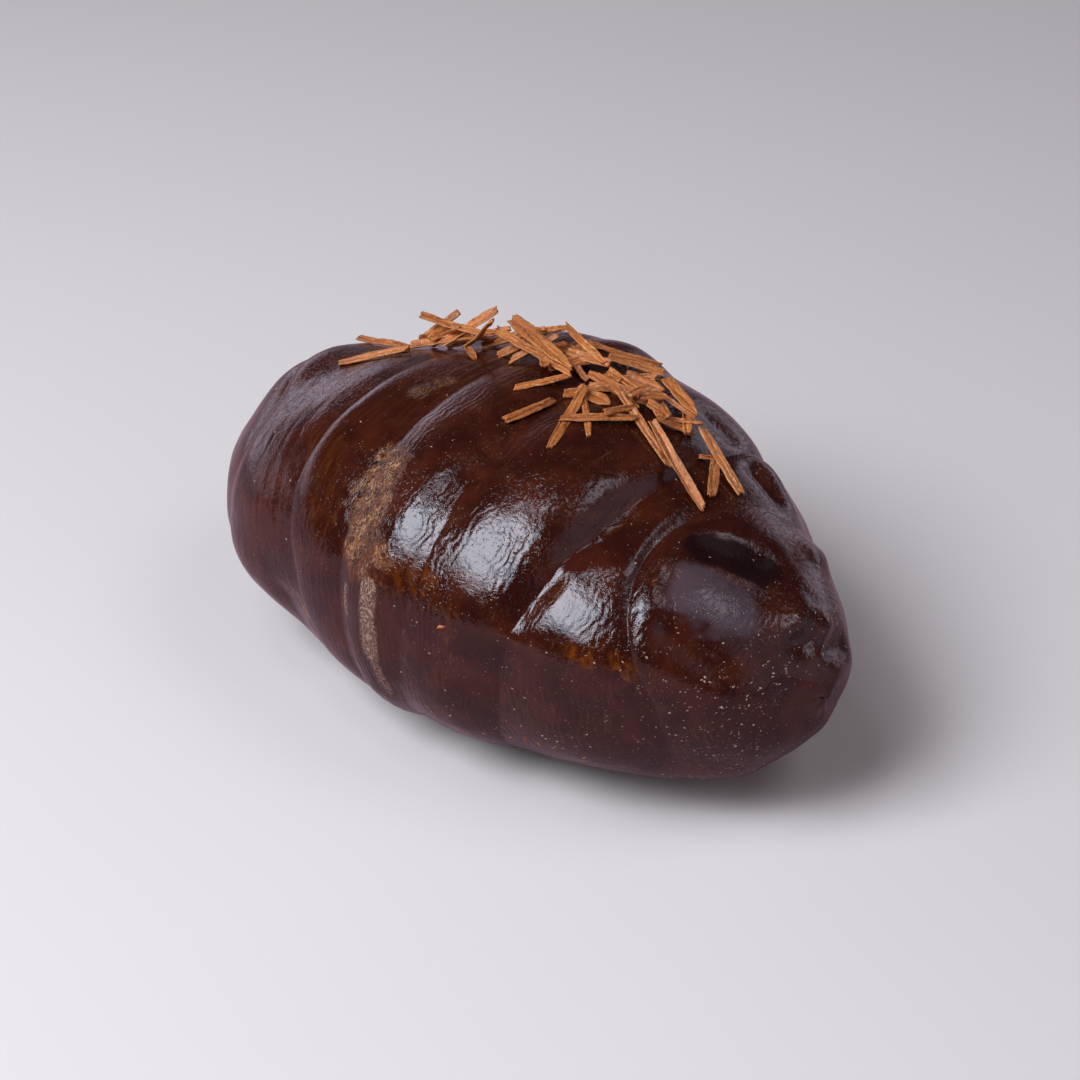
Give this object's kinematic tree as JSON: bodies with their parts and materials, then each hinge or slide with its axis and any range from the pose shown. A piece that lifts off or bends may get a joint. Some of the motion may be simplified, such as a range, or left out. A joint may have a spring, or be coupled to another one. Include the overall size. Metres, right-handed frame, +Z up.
{
  "type": "chocolate cheese salt bread",
  "caption": "Plump rolled salt bread with wrap seams and a pointed end, under a glossy dark chocolate glaze, with a loose heap of crisp light shreds along its ridge.",
  "frame": {"origin": "on the surface that the bread rests on, below the middle of its box", "axes": "+X along the bread towards its pointed end, +Y towards its back, +Z up"},
  "size_m": [0.1278, 0.0812, 0.0622],
  "materials": {
    "chocolate_glaze": "glossy dark chocolate glaze over dough, thinner and amber over the high wraps",
    "crisp_shreds": "matt toasted light brown, fibrous, with paler torn edges",
    "light_specks": "matt pale tan grains under the glaze"
  },
  "bodies": {
    "root": {"salt_bread": "chocolate_glaze"}
  },
  "joints": []
}
